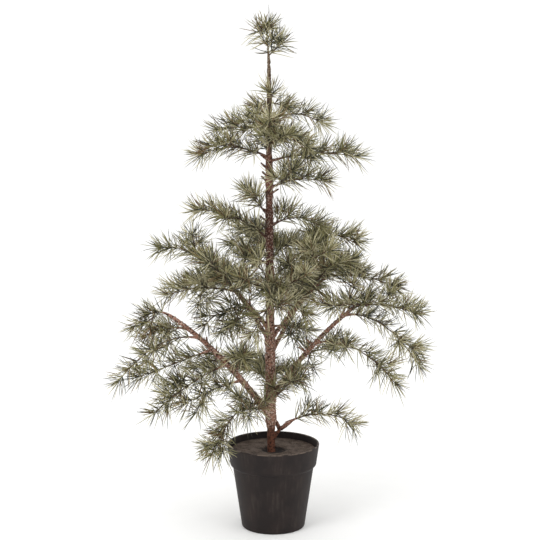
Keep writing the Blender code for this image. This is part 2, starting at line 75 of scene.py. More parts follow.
# %% Make the camera
IMAGE_SIDE = 540
LENS_IN_PIXELS = 1698
SENSOR = 36.0
CAMERA_PLACE = (-0.005, -2.5, 0.834)
CAMERA_DIP = 0.173

lens = bpy.data.cameras.new("studio_camera")
lens.sensor_width = SENSOR
lens.lens = SENSOR * LENS_IN_PIXELS / IMAGE_SIDE
camera = bpy.data.objects.new("studio_camera", lens)
camera.location = CAMERA_PLACE
camera.rotation_euler = (math.pi / 2 - CAMERA_DIP, 0, 0)
bpy.context.scene.collection.objects.link(camera)
bpy.context.scene.camera = camera
print("lens in mm:", round(lens.lens, 1))

# %% [markdown]
# ## Colours and nodes
#
# Colours are written as the hex values that a screen shows, and one function turns them into
# the linear values that a shader works in. A second function adds a shader node with its
# settings and links, so each material below reads as a short list. Noise patterns take the
# real size of one blotch in millimetres, because Object coordinates are in metres.

# %% Helpers for materials
def linear(code):
    """The linear colour of an sRGB hex value such as #7a4a3a."""
    shown = [int(code[place:place + 2], 16) / 255 for place in (1, 3, 5)]
    channels = [value / 12.92 if value <= 0.04045 else ((value + 0.055) / 1.055) ** 2.4 for value in shown]
    return (*channels, 1.0)


def add_node(tree, kind, inputs=None, **settings):
    """Add a shader node. An input is given a value, or the socket that feeds it."""
    made = tree.nodes.new("ShaderNode" + kind)
    for name, value in settings.items():
        setattr(made, name, value)
    for name, value in (inputs or {}).items():
        if isinstance(value, bpy.types.NodeSocket):
            tree.links.new(value, made.inputs[name])
        else:
            made.inputs[name].default_value = value
    return made


def blotches(tree, size_mm, detail=2.0, stretch=(1, 1, 1)):
    """A noise whose blotches are about size_mm across, longer where stretch is below 1."""
    place = add_node(tree, "TexCoord").outputs["Object"]
    turned_to = add_node(tree, "Mapping", {"Vector": place, "Scale": stretch}).outputs["Vector"]
    settings = {"Vector": turned_to, "Scale": 1000 / size_mm, "Detail": detail}
    return add_node(tree, "TexNoise", settings).outputs["Fac"]


def graded(tree, value, low, high, start=0.0, end=1.0):
    """Carry a value from the range low..high to start..end, held at both ends."""
    limits = {"Value": value, "From Min": low, "From Max": high, "To Min": start, "To Max": end}
    return add_node(tree, "MapRange", limits).outputs["Result"]


def mixed(tree, share, first, second):
    """Mix two colours, each a hex value or a socket."""
    first, second = (linear(side) if isinstance(side, str) else side for side in (first, second))
    return add_node(tree, "Mix", {0: share, 6: first, 7: second}, data_type="RGBA").outputs[2]


def bumped(tree, height, depth_mm):
    """A normal from a height map whose full range stands for depth_mm."""
    settings = {"Height": height, "Strength": 1.0, "Distance": depth_mm / 1000}
    return add_node(tree, "Bump", settings).outputs["Normal"]


def new_material(name, roughness, ior=1.5, specular=0.5):
    """A material with a Principled shader, its node tree and the shader."""
    made = bpy.data.materials.new(name)
    made.use_nodes = True
    shader = made.node_tree.nodes["Principled BSDF"]
    shader.inputs["Roughness"].default_value = roughness
    shader.inputs["IOR"].default_value = ior
    shader.inputs["Specular IOR Level"].default_value = specular
    return made, made.node_tree, shader


def connect(tree, shader, **sockets):
    """Link sockets to the shader's inputs, base_color to Base Color and so on."""
    for name, socket in sockets.items():
        tree.links.new(socket, shader.inputs[name.replace("_", " ").title()])


# %% [markdown]
# ## Turning and finishing a piece
#
# Pots, plugs, stems and even needles are round in section, so a lathe makes them all: a
# profile drawn from the axis, out, and back to the axis is spun about +Z. Merged ends leave
# no hole at the poles. Each finished piece rides with the tree, and the CAD nodes it stands
# for are hidden.

# %% Helpers for shapes
MERGED = 1e-6
SAME_SPOT = 1e-4


def turned(profile, sides):
    """Spin a profile of (radius, height) about +Z into a closed skin that faces outwards."""
    shape = bmesh.new()
    verts = [shape.verts.new((radius, 0, height)) for radius, height in profile]
    edges = [shape.edges.new(pair) for pair in zip(verts, verts[1:])]
    bmesh.ops.spin(shape, geom=verts + edges, cent=(0, 0, 0), axis=(0, 0, 1), angle=2 * math.pi,
                   steps=sides, use_merge=True)
    bmesh.ops.remove_doubles(shape, verts=shape.verts[:], dist=MERGED)
    bmesh.ops.recalc_face_normals(shape, faces=shape.faces[:])
    return shape


def stepped(corners, gap):
    """The same profile with extra points, no more than gap apart."""
    points = [corners[0]]
    for (r0, z0), (r1, z1) in zip(corners, corners[1:]):
        steps = max(1, math.ceil(math.hypot(r1 - r0, z1 - z0) / gap))
        for step in range(1, steps + 1):
            points.append((r0 + (r1 - r0) * step / steps, z0 + (z1 - z0) * step / steps))
    return points


def rounded(shape, spots, width, segments=3):
    """Bevel the turned edges that pass through these spots of (radius, height)."""
    rings = []
    for radius, height in spots:
        for edge in shape.edges:
            away = [math.hypot(vert.co.xy.length - radius, vert.co.z - height) for vert in edge.verts]
            if max(away) < SAME_SPOT:
                rings.append(edge)
    bmesh.ops.bevel(shape, geom=rings, offset=width, offset_type="OFFSET", affect="EDGES",
                    segments=segments, profile=0.5, material=-1)


def finish_piece(name, mesh, material, stands_for):
    """Link a mesh as a piece of the tree."""
    made = bpy.data.objects.new(name, mesh)
    bpy.context.scene.collection.objects.link(made)
    mesh.materials.append(material)
    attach(made, "root")
    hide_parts(*stands_for)
    triangles = sum(len(polygon.vertices) - 2 for polygon in mesh.polygons)
    print(name, triangles, "triangles")
    return made


def mesh_of(name, shape):
    """A smooth-shaded mesh from a bmesh, which is freed."""
    mesh = bpy.data.meshes.new(name)
    shape.to_mesh(mesh)
    shape.free()
    mesh.polygons.foreach_set("use_smooth", [True] * len(mesh.polygons))
    return mesh


# %% [markdown]
# ## The pot
#
# A nursery pot is injection moulded: thin wall, plain cone, and a band round the top that
# stiffens it and lets pots stack. Its edges are all a little round, as plastic leaves the
# tool, so after the lathe the rim, the band's foot and the base are bevelled.

# %% Turn the pot
POT_HEIGHT = 0.130
RIM_R = 0.070
BAND_FOOT_R = 0.0655
BAND_FOOT = 0.0980
SHOULDER_R = 0.0615
SHOULDER = 0.0945
BASE_R = 0.0478
WALL = 0.003
FLOOR = 0.004
FLOOR_R = BASE_R - WALL + 0.0004
POT_SIDES = 96
WALL_STEP = 0.004
RIM_ROUND = 0.0011
BAND_ROUND = 0.0010
BASE_ROUND = 0.0030

rim_inner, rim_outer = (RIM_R - WALL, POT_HEIGHT), (RIM_R, POT_HEIGHT)
band_foot, shoulder, base = (BAND_FOOT_R, BAND_FOOT), (SHOULDER_R, SHOULDER), (BASE_R, 0)
pot_corners = [
    (0, FLOOR), (FLOOR_R, FLOOR), (SHOULDER_R - WALL, SHOULDER - WALL),
    (BAND_FOOT_R - WALL, BAND_FOOT + WALL), rim_inner, rim_outer, band_foot, shoulder, base, (0, 0),
]
pot = turned(stepped(pot_corners, WALL_STEP), POT_SIDES)
rounded(pot, [rim_inner, rim_outer], RIM_ROUND)
rounded(pot, [band_foot, shoulder], BAND_ROUND)
rounded(pot, [base], BASE_ROUND, segments=4)
pot_mesh = mesh_of("pot_wall", pot)

# %% [markdown]
# ## The pot's plastic
#
# Polypropylene moulded in a sand-blasted tool: a fine dull grain and hardly any gloss. Use
# has left dry dust on it, thin upright streaks where water ran down and a few paler blotches,
# and the top of the rim is much paler in patches. The grain of a real tool is 0.1 mm; here it
# is drawn at 0.7 mm, because one pixel of the picture covers 1.5 mm.

# %% Finish the pot
RIM_PALE_FROM, RIM_PALE_TO = POT_HEIGHT - 0.0016, POT_HEIGHT - 0.0002

pot_plastic, tree, shader = new_material("matt_polypropylene_moulded_dusty", 0.62, 1.49, 0.24)
streaks = graded(tree, blotches(tree, 4.0, 3.0, (1, 1, 0.10)), 0.48, 0.72)
clouds = graded(tree, blotches(tree, 26.0, 3.0, (1, 1, 0.7)), 0.40, 0.68)
dust = add_node(tree, "Math", {0: streaks, 1: clouds}, operation="MULTIPLY").outputs[0]
moulded = mixed(tree, clouds, "#1a1312", "#241b19")
dusty = mixed(tree, dust, moulded, "#37312d")
height = add_node(tree, "SeparateXYZ", {0: add_node(tree, "TexCoord").outputs["Object"]}).outputs["Z"]
# The top face of the rim is much paler in patches.
rim_edge = graded(tree, height, RIM_PALE_FROM, RIM_PALE_TO)
patchy = graded(tree, blotches(tree, 7.0), 0.42, 0.60)
rim_paler = add_node(tree, "Math", {0: rim_edge, 1: patchy}, operation="MULTIPLY").outputs[0]
with_paler_rim = mixed(tree, rim_paler, dusty, "#6a5d52")
dull = graded(tree, dust, 0.0, 1.0, 0.60, 0.88)
grain = bumped(tree, blotches(tree, 0.7, 1.0), 0.05)
connect(tree, shader, base_color=with_paler_rim, roughness=dull, normal=grain)
finish_piece("pot_wall", pot_mesh, pot_plastic, ["pot"])

# %% [markdown]
# ## The fill
#
# The pot is weighted with a cast plug, coloured like dry soil, about 10 mm below the rim. It
# was smoothed by turning a tool round it, which left faint rings, and it broke away in a
# rough hollow where the trunk was pushed in. The rings are geometry in the turned profile,
# and a seeded noise makes the hollow's edge and the skin uneven.

# %% Cast the fill
FILL_TOP = 0.120
HOLLOW_R = 0.020
HOLLOW_DEPTH = 0.003
FILL_GAP = 0.0006
FILL_SIDES = 96
FILL_STEP = 0.0012
RING_PITCH = 0.0042
RING_DEPTH = 0.00022
UNEVEN = 0.0007
UNEVEN_SCALE = 140
EDGE_WAVE, EDGE_WAVE_SCALE = 0.16, 3.1
EDGE_GRIT, EDGE_GRIT_SCALE = 0.06, 260
JUST_BELOW = 1e-5


def inner_r(height):
    """Inside radius of the pot at a height."""
    if height < SHOULDER - WALL:
        return BASE_R - WALL + (SHOULDER_R - BASE_R) * (height - FLOOR) / (SHOULDER - WALL - FLOOR)
    band_low = BAND_FOOT + WALL
    return BAND_FOOT_R - WALL + (RIM_R - BAND_FOOT_R) * (height - band_low) / (POT_HEIGHT - band_low)


def settle(vert):
    """Give a point of the fill's top its rings, its rough hollow and its uneven skin."""
    reach = vert.co.xy.length
    wave = EDGE_WAVE * noise.noise(vert.co.normalized() * EDGE_WAVE_SCALE)
    grit = EDGE_GRIT * noise.noise(vert.co * EDGE_GRIT_SCALE)
    sunk = max(0.0, 1 - (reach / (HOLLOW_R * (1 + wave + grit))) ** 4) * HOLLOW_DEPTH
    rings = RING_DEPTH * math.sin(2 * math.pi * reach / RING_PITCH)
    lumps = UNEVEN * noise.fractal(vert.co * UNEVEN_SCALE, 0.8, 2.0, 3)
    vert.co.z += rings + 0.5 * lumps - sunk


edge_r = inner_r(FILL_TOP) - FILL_GAP
fill_side = [
    (inner_r(BAND_FOOT + WALL) - FILL_GAP, BAND_FOOT + WALL),
    (inner_r(SHOULDER - WALL - JUST_BELOW) - FILL_GAP, SHOULDER - WALL),
    (BASE_R - WALL - FILL_GAP, FLOOR + FILL_GAP), (0, FLOOR + FILL_GAP),
]
fill = turned(stepped([(0, FILL_TOP), (edge_r, FILL_TOP)], FILL_STEP) + fill_side, FILL_SIDES)
for vert in fill.verts:
    if vert.co.z > FILL_TOP - JUST_BELOW and vert.co.xy.length < edge_r - SAME_SPOT:
        settle(vert)
fill_mesh = mesh_of("cast_fill", fill)

# %% [markdown]
# ## The fill's finish
#
# Cast plaster stained brown: open, dull and a little sandy, with paler scuffs; a ragged ring
# round the trunk is painted darker, as painted shade in its hollow. Nothing in it shines.

# %% Finish the fill
plaster, tree, shader = new_material("stained_plaster_cast", 0.95, 1.5, 0.2)
place = add_node(tree, "TexCoord").outputs["Object"]
flat = add_node(tree, "Mapping", {"Vector": place, "Scale": (1, 1, 0)}).outputs["Vector"]
reach = add_node(tree, "VectorMath", {0: flat}, operation="LENGTH").outputs["Value"]
straying = graded(tree, blotches(tree, 9.0, 3.0), 0.3, 0.7, -0.004, 0.004)
ragged = add_node(tree, "Math", {0: reach, 1: straying}, operation="ADD").outputs[0]
# Painted shade: a ragged ring round the trunk, dark within 15 mm of the axis and fading out at the hollow's
# edge, for the shade where the trunk goes in.
painted_hollow_shade = graded(tree, ragged, HOLLOW_R - 0.005, HOLLOW_R + 0.001, 1.0, 0.0)
soil = mixed(tree, graded(tree, blotches(tree, 11.0, 4.0), 0.38, 0.64), "#453a34", "#665a51")
sandy = mixed(tree, graded(tree, blotches(tree, 1.6, 2.0), 0.56, 0.74), soil, "#82766b")
dark = mixed(tree, painted_hollow_shade, sandy, "#1d1613")
connect(tree, shader, base_color=dark, normal=bumped(tree, blotches(tree, 1.8, 3.0), 0.5))
finish_piece("cast_fill", fill_mesh, plaster, ["fill"])

# %% [markdown]
# ## The skeleton
#
# The whole tree hangs on named limbs. A bough has a parent, a place on it, a compass turn and
# a rise in degrees, a reach, a droop and two radii. A mass of foliage has a stem of the same
# kind, and side twigs on that stem. These rows are the CAD source's own, so everything grown
# from them stays where the solids are. Turns run counter-clockwise from +X, and the camera
# stands at -90.

# %% The rows of the skeleton
# Boughs: parent, place on it (height on the trunk, share of the length on a bough),
# turn and rise in degrees, reach, droop, radius at root and tip
BOUGHS = {
    "bough_low_left": ("trunk", 0.170, -160, 55, 0.270, 0.055, 0.0052, 0.0030),
    "bough_low_right": ("trunk", 0.200, -15, 56, 0.235, 0.045, 0.0044, 0.0026),
    "bough_mid_right": ("trunk", 0.290, 20, 51, 0.145, 0.020, 0.0034, 0.0022),
    "bough_mid_left": ("trunk", 0.305, -170, 52, 0.120, 0.010, 0.0034, 0.0022),
    "bough_foot_right": ("trunk", 0.135, -5, 53, 0.040, 0.005, 0.0030, 0.0021),
    "bough_back_right": ("trunk", 0.265, 60, 42, 0.150, 0.025, 0.0034, 0.0022),
    "bough_back_left": ("trunk", 0.285, 125, 42, 0.140, 0.025, 0.0034, 0.0022),
}

# Masses: the first row is the stem on its parent, the others are side twigs on that stem:
# place, turn, rise, reach, droop
MASSES = {
    "leader": ("trunk", (0.704, 180, 86, 0.056, 0.0), (0.45, 190, 58, 0.024, 0.0),
               (0.2, 10, 42, 0.024, 0.0)),
    "collar": ("trunk", (0.640, -70, 52, 0.026, 0.0), (0.4, 200, -15, 0.020, 0.0),
               (0.4, -15, -15, 0.020, 0.0)),
    "top_left_upper": ("trunk", (0.607, 175, 13, 0.076, 0.018)),
    "top_left_high": ("trunk", (0.618, 160, -2, 0.046, 0.0)),
    "top_left_lower": ("trunk", (0.565, -165, 31, 0.116, 0.051), (0.4, -140, 20, 0.050, 0.010)),
    "top_front": ("trunk", (0.570, -90, 39, 0.095, 0.0), (0.45, -135, 55, 0.045, 0.0),
                  (0.3, -60, 20, 0.050, 0.0)),
    "top_right_upper": ("trunk", (0.620, 12, 29, 0.088, 0.046)),
    "top_right_long": ("trunk", (0.560, -5, 18, 0.132, 0.032), (0.35, -60, -5, 0.035, 0.0),
                       (0.7, 25, 8, 0.030, 0.005)),
    "top_right_near": ("trunk", (0.585, -40, 31, 0.085, 0.045)),
    "top_right_low": ("trunk", (0.520, 0, 27, 0.090, 0.030), (0.3, 90, 30, 0.040, 0.0),
                      (0.2, -75, 22, 0.070, 0.0)),
    "top_back": ("trunk", (0.565, 92, 36, 0.130, 0.032), (0.45, 45, 5, 0.055, 0.010)),
    "upper_left_long": ("trunk", (0.442, -165, 44, 0.154, 0.059), (0.45, -115, 5, 0.038, 0.0)),
    "upper_left_near": ("trunk", (0.405, -140, 27, 0.062, 0.0), (0.5, -110, 8, 0.040, 0.0)),
    "upper_left_high": ("trunk", (0.478, 145, 40, 0.054, 0.0), (0.35, -120, 50, 0.026, 0.0)),
    "upper_right_long": ("trunk", (0.462, 0, 36, 0.096, 0.056), (0.12, 45, 45, 0.026, 0.0)),
    "upper_right_arch": ("trunk", (0.375, 18, 50, 0.196, 0.080), (0.85, -15, -20, 0.030, 0.0),
                         (0.55, 85, 14, 0.060, 0.0)),
    "upper_back_left": ("trunk", (0.425, 108, 22, 0.150, 0.042), (0.45, 75, -8, 0.060, 0.005),
                        (0.6, 170, -35, 0.035, 0.0)),
    "upper_back_right": ("trunk", (0.405, 75, 22, 0.160, 0.048), (0.45, 140, -8, 0.055, 0.005),
                         (0.55, 20, 10, 0.060, 0.010)),
    "mid_right_tip": ("bough_mid_right", (1.0, -25, 11, 0.110, 0.028)),
    "mid_right_high": ("bough_mid_right", (0.62, 5, 57, 0.116, 0.050), (0.6, -15, 5, 0.045, 0.005),
                       (0.3, 80, 45, 0.060, 0.010)),
    "mid_right_near": ("bough_mid_right", (0.45, -70, 58, 0.125, 0.0), (0.7, -55, 35, 0.065, 0.010),
                       (0.4, -120, 45, 0.055, 0.005)),
    "mid_right_front": ("bough_mid_right", (0.68, -65, 43, 0.117, 0.020), (0.45, -10, 35, 0.060, 0.010)),
    "low_right_tip": ("bough_low_right", (1.0, 20, 2, 0.098, 0.020), (0.4, -30, 56, 0.030, 0.005),
                      (0.3, -150, 8, 0.080, 0.005), (0.6, -45, 0, 0.042, 0.005)),
    "low_right_long": ("bough_low_right", (0.86, 0, 11, 0.112, 0.095),
                       (0.62, -35, -22, 0.042, 0.008), (0.75, 35, -25, 0.030, 0.005)),
    "low_right_near": ("bough_low_right", (0.52, -25, 18, 0.134, 0.088),
                       (0.7, -50, -15, 0.042, 0.008), (0.35, -85, 12, 0.042, 0.005)),
    "low_right_up": ("bough_low_right", (0.82, -10, 68, 0.055, 0.0), (0.5, 25, 12, 0.036, 0.0),
                     (0.4, -165, 5, 0.042, 0.0)),
    "low_right_dark": ("bough_low_right", (0.36, 55, 15, 0.095, 0.030), (0.28, -112, -45, 0.045, 0.0)),
    "low_right_inner": ("trunk", (0.310, -35, 18, 0.068, 0.018), (0.45, -60, -25, 0.036, 0.0)),
    "foot_right_front": ("trunk", (0.190, -50, 52, 0.108, 0.036), (0.5, -15, 55, 0.038, 0.0)),
    "foot_right": ("bough_foot_right", (1.0, -15, 32, 0.122, 0.058)),
    "low_left_tip": ("bough_low_left", (1.0, 165, 34, 0.070, 0.056), (0.4, -110, 14, 0.025, 0.025)),
    "low_left_upper": ("bough_low_left", (0.83, 155, 8, 0.073, 0.027), (0.4, 100, -10, 0.040, 0.010)),
    "low_left_long": ("bough_low_left", (0.72, -160, 17, 0.130, 0.091), (0.5, -110, -2, 0.045, 0.015)),
    "low_left_under": ("bough_low_left", (0.60, 175, -22, 0.120, 0.0)),
    "low_left_near": ("bough_low_left", (0.45, -140, -10, 0.135, 0.028),
                      (0.4, -165, -3, 0.046, 0.005), (0.65, -115, 2, 0.036, 0.005)),
    "low_left_hang": ("bough_low_left", (0.30, -160, -7, 0.085, 0.016), (0.65, -110, -20, 0.045, 0.005)),
    "low_left_back": ("bough_low_left", (0.55, 95, -22, 0.100, 0.010), (0.45, 150, -15, 0.045, 0.005)),
    "low_left_inner": ("bough_low_left", (0.36, -80, 46, 0.098, 0.030), (0.45, -85, 30, 0.035, 0.0)),
    "foot_left": ("trunk", (0.180, -134, 40, 0.162, 0.145), (0.38, -150, 40, 0.044, 0.0),
                  (0.65, 175, -50, 0.055, 0.005), (0.8, -95, -50, 0.034, 0.0),
                  (0.35, -92, 3, 0.040, 0.010)),
    "mid_left_tip": ("bough_mid_left", (1.0, -175, 50, 0.138, 0.062), (0.42, -100, 55, 0.040, 0.0)),
    "mid_left_far": ("bough_mid_left", (0.85, 152, 6, 0.098, 0.022), (0.45, 90, 0, 0.045, 0.010)),
    "mid_left_long": ("bough_mid_left", (0.7, -175, 15, 0.104, 0.030), (0.5, -95, -28, 0.040, 0.0)),
    "mid_left_near": ("bough_mid_left", (0.55, -120, 38, 0.115, 0.0), (0.55, -170, 45, 0.050, 0.005)),
    "mid_left_under": ("bough_mid_left", (0.32, -148, 31, 0.100, 0.062), (0.42, -78, -15, 0.055, 0.005),
                       (0.6, -100, -42, 0.040, 0.0), (0.2, -130, -32, 0.045, 0.0)),
    "front": ("trunk", (0.360, -85, 12, 0.115, 0.020), (0.3, -130, 32, 0.085, 0.010),
              (0.35, -40, 36, 0.080, 0.010), (0.4, -125, 60, 0.066, 0.0),
              (0.6, -145, -52, 0.064, 0.0), (0.6, -30, -12, 0.050, 0.005)),
    "back_right_tip": ("bough_back_right", (1.0, 85, 22, 0.090, 0.040), (0.3, 130, -5, 0.045, 0.005),
                       (0.35, 110, 20, 0.055, 0.015)),
    "back_right_up": ("bough_back_right", (0.5, 85, 60, 0.100, 0.010), (0.4, 30, 35, 0.050, 0.010)),
    "back_left_tip": ("bough_back_left", (1.0, 115, 22, 0.090, 0.040), (0.3, 165, 5, 0.055, 0.010),
                      (0.35, 80, 20, 0.055, 0.015)),
    "back_left_up": ("bough_back_left", (0.5, 100, 60, 0.100, 0.010), (0.4, 145, 35, 0.050, 0.010)),
    "foot_back": ("trunk", (0.185, 95, 38, 0.190, 0.080), (0.4, 60, 5, 0.066, 0.010),
                  (0.45, 140, 12, 0.066, 0.015)),
}

# Bark spurs, the stubs of the wrapped core: parent, place, turn
SPURS = (
    ("trunk", 0.560, 175), ("trunk", 0.548, -170), ("trunk", 0.535, 160), ("trunk", 0.527, -150),
    ("trunk", 0.510, 10), ("trunk", 0.482, 170), ("trunk", 0.468, -165), ("trunk", 0.455, 150),
    ("bough_low_left", 0.66, 90), ("bough_low_left", 0.5, -60),
    ("bough_low_right", 0.42, 160), ("bough_low_right", 0.5, 150), ("bough_low_right", 0.74, -30),
    ("bough_foot_right", 0.55, 120), ("bough_foot_right", 0.6, 0),
)
print("boughs:", len(BOUGHS), "masses:", len(MASSES))

# %% [markdown]
# ## Limbs
#
# A limb is a straight shot bent down by its own weight: the droop grows with the square of
# the way along it. One class answers for boughs and twigs alike, for one share of the length
# or for many at once. The trunk answers the same questions by height.

# %% The limbs
UP = np.array((0.0, 0.0, 1.0))
GAP = 0.0003
TRUNK_FOOT_Z = FILL_TOP - HOLLOW_DEPTH + GAP
TRUNK_TOP_Z = 0.704
TRUNK_R = 0.0080
TRUNK_TOP_R = 0.0028
TRUNK_END_R = 0.0017
TRUNK_END = 0.010
TRUNK_TAPER = 1.3
FLARE_R = 0.0012
FLARE_HEIGHT = 0.015
TRUNK_FOOT_X = -0.0030
TRUNK_LEAN = -0.0035


def unit(vectors):
    return vectors / np.linalg.norm(vectors, axis=-1, keepdims=True)


def heading(turn, rise):
    turn, rise = math.radians(turn), math.radians(rise)
    return np.array((math.cos(rise) * math.cos(turn), math.cos(rise) * math.sin(turn), math.sin(rise)))


def across(along):
    """Two directions square to a limb's run: level, and as near to up as it can be."""
    level = np.cross(along, UP)
    steep = np.linalg.norm(level, axis=-1, keepdims=True) < 1e-4
    level = unit(np.where(steep, np.array((0.0, 1.0, 0.0)), level))
    return level, np.cross(level, along)


class Limb:
    """A tapering limb from a base point: an aim, a reach, a droop, and its two radii."""

    def __init__(self, base, aim, reach, droop, root_r, tip_r):
        self.base, self.aim, self.reach, self.droop = base, unit(aim), reach, droop
        self.root_r, self.tip_r = root_r, tip_r

    def point(self, share):
        share = np.asarray(share, float)[..., None]
        return self.base + self.aim * self.reach * share - UP * self.droop * share ** 2

    def along(self, share):
        share = np.asarray(share, float)[..., None]
        return unit(self.aim * self.reach - UP * 2 * self.droop * share)

    def radius(self, share):
        return self.root_r + (self.tip_r - self.root_r) * np.asarray(share, float)


class Trunk:
    """The trunk, asked by height above the pot's underside."""

    reach = 1.0

    def point(self, height):
        height = np.asarray(height, float)
        bow = 1 - (1 - (height - TRUNK_FOOT_Z) / (TRUNK_TOP_Z - TRUNK_FOOT_Z)) ** 2
        return np.stack((TRUNK_FOOT_X + TRUNK_LEAN * bow, np.zeros_like(height), height), -1)

    def along(self, height):
        return unit(self.point(np.asarray(height) + GAP) - self.point(np.asarray(height) - GAP))

    def radius(self, height):
        height = np.asarray(height, float)
        share = np.clip((height - TRUNK_FOOT_Z) / (TRUNK_TOP_Z - TRUNK_FOOT_Z), 0, 1)
        taper = TRUNK_R + (TRUNK_TOP_R - TRUNK_R) * share ** TRUNK_TAPER
        end = np.clip((TRUNK_TOP_Z - height) / TRUNK_END, 0, 1)
        flare = np.clip(1 - (height - TRUNK_FOOT_Z) / FLARE_HEIGHT, 0, 1)
        return TRUNK_END_R + (taper - TRUNK_END_R) * end ** 0.5 + FLARE_R * flare ** 2


limbs = {"trunk": Trunk()}
for name, (parent, place, turn, rise, reach, droop, root_r, tip_r) in BOUGHS.items():
    limbs[name] = Limb(limbs[parent].point(place), heading(turn, rise), reach, droop, root_r, tip_r)
for height in (TRUNK_FOOT_Z, TRUNK_TOP_Z):
    print("trunk radius in mm:", round(float(limbs["trunk"].radius(height)) * 1000, 1))

# %% [markdown]
# ## Bark in relief
#
# The trunk and boughs are wire, wound with crinkled paper tape. Each turn of the tape laps
# over the one before, which leaves a low spiral step, and the paper itself is creased. The
# relief is real geometry: a straight tube of fine rings is bent along each limb, and every
# point is moved out by the step and the creases. Where a bough meets the trunk, more tape
# makes a swelling. The tape ends a little above the fill, and the bare core goes on, thinner.

# %% Wind the trunk and boughs
TAPE_PITCH = 0.0085
TAPE_STEP = 0.0005
CREASE = 0.00055
CREASE_SIZE = 0.0032
RING_GAP = 0.0014
KNOT = 0.0011
KNOT_LENGTH = 0.012
SUNK = 0.002
TAPE_END_Z = 0.152
TAPE_FADE = 0.012
CORE_R = 0.0060


def unit_tube(sides, rings):
    """Points and triangles of a closed tube of radius 1 about +Z, from 0 to 1."""
    walls = [(1.0, ring / (rings - 1)) for ring in range(rings)]
    tube = turned([(0, 0), *walls, (0, 1)], sides)
    return listed(tube)


def listed(shape):
    """A bmesh as arrays of points and of triangles."""
    bmesh.ops.triangulate(shape, faces=shape.faces[:])
    points = np.array([vert.co[:] for vert in shape.verts])
    triangles = np.array([[vert.index for vert in face.verts] for face in shape.faces])
    shape.free()
    return points, triangles


def bent(tube, limb, low, high, wide):
    """The points of a straight tube laid along a limb, with its radius at each point."""
    share = low + (high - low) * tube[:, 2]
    along = limb.along(share)
    level, up = across(along)
    return limb.point(share) + (level * tube[:, :1] + up * tube[:, 1:2]) * wide[:, None]


def tape_relief(tube, run, points):
    """How far the wound tape stands out at each point."""
    turns = run / TAPE_PITCH + np.arctan2(tube[:, 1], tube[:, 0]) / (2 * math.pi)
    lap = TAPE_STEP * (1 - turns % 1) ** 1.5
    crease = [noise.fractal(Vector(point) / CREASE_SIZE, 0.9, 2.1, 3) for point in points]
    return lap + CREASE * np.array(crease)


def bark_points(limb, tube, low, high, knots, core_below=-1.0):
    """One limb's bark: its taper, a swelling at each knot, the bare core and the tape's relief."""
    share = low + (high - low) * tube[:, 2]
    run = share * limb.reach
    wide = limb.radius(share)
    for knot in knots:
        wide = wide + KNOT * np.exp(-((run - knot) / (KNOT_LENGTH / 2)) ** 2)
    wide = CORE_R + (wide - CORE_R) * np.clip((share - core_below) / TAPE_FADE, 0, 1)
    smooth = bent(tube, limb, low, high, wide)
    return bent(tube, limb, low, high, wide + tape_relief(tube, run, smooth) - TAPE_STEP / 2)


def joined(parts):
    """Join lists of points and triangles into one."""
    points, triangles, count = [], [], 0
    for part_points, part_triangles in parts:
        points.append(part_points)
        triangles.append(part_triangles + count)
        count += len(part_points)
    return np.concatenate(points), np.concatenate(triangles)


def mesh_from(name, points, triangles):
    """A smooth-shaded mesh from joined arrays."""
    mesh = bpy.data.meshes.new(name)
    mesh.from_pydata(points.tolist(), [], triangles.tolist())
    mesh.polygons.foreach_set("use_smooth", [True] * len(mesh.polygons))
    mesh.update()
    return mesh


trunk_knots = [row[1] for row in BOUGHS.values()]
trunk_knots += [place for parent, place, _ in SPURS if parent == "trunk"]
trunk_low = TRUNK_FOOT_Z - SUNK
trunk_tube, trunk_faces = unit_tube(32, round((TRUNK_TOP_Z - trunk_low) / RING_GAP))
trunk_points = bark_points(limbs["trunk"], trunk_tube, trunk_low, TRUNK_TOP_Z, trunk_knots, TAPE_END_Z)

# %% [markdown]
# ## Spurs and sleeves
#
# Two small things make the wood look made by hand. Spurs are cut stubs of wire under the
# tape, like thorns, and they stand on the trunk's upper half and along the boughs, with the
# thickest at the foot. Sleeves are the taped roots of the plastic stems, thick at the wood and
# gone after 18 mm. Both are short tubes on the same limbs, joined to the bark.

# %% Wind the boughs, and add spurs and thorns
SPUR_REACH = 0.011
SPUR_R = 0.0021
SPUR_RISE = 40
SPUR_CROOK = 0.15
SPUR_TAPER = 0.55
SPUR_ROUGH = 0.14
STUB = 1.8
THORN_GAP = 0.016
THORN_REACH = 0.0055
THORN_R = 0.0011
SLEEVE = 0.018
SLEEVE_R = 0.0013
SEED = 41

spur_tube, spur_faces = unit_tube(7, 6)
rng = np.random.default_rng(SEED)


def spur_part(parent, place, aim, reach, root_r):
    """One stub that leaves a limb's axis, slightly crooked, and ends blunt."""
    run = float(parent.radius(place)) + reach
    crook = SPUR_CROOK * reach * rng.uniform(-1, 1)
    stub = Limb(parent.point(place), aim, run, crook, root_r, root_r * SPUR_TAPER)
    wide = stub.radius(spur_tube[:, 2]) * (1 + SPUR_ROUGH * rng.standard_normal(len(spur_tube)))
    return bent(spur_tube, stub, 0.0, 1.0, wide), spur_faces


def thorns(parent, reach):
    """Small stubs all along a bough, at seeded turns."""
    made = []
    for place in np.arange(0.02, reach, THORN_GAP) / reach:
        place = min(0.97, place + rng.uniform(0, 0.3) * THORN_GAP / reach)
        along = parent.along(place)
        level, up = across(along)
        angle = rng.uniform(0, 2 * math.pi)
        aim = level * math.cos(angle) + up * math.sin(angle) + 0.6 * along
        made.append(spur_part(parent, place, aim, THORN_REACH * rng.uniform(0.6, 1.2), THORN_R))
    return made


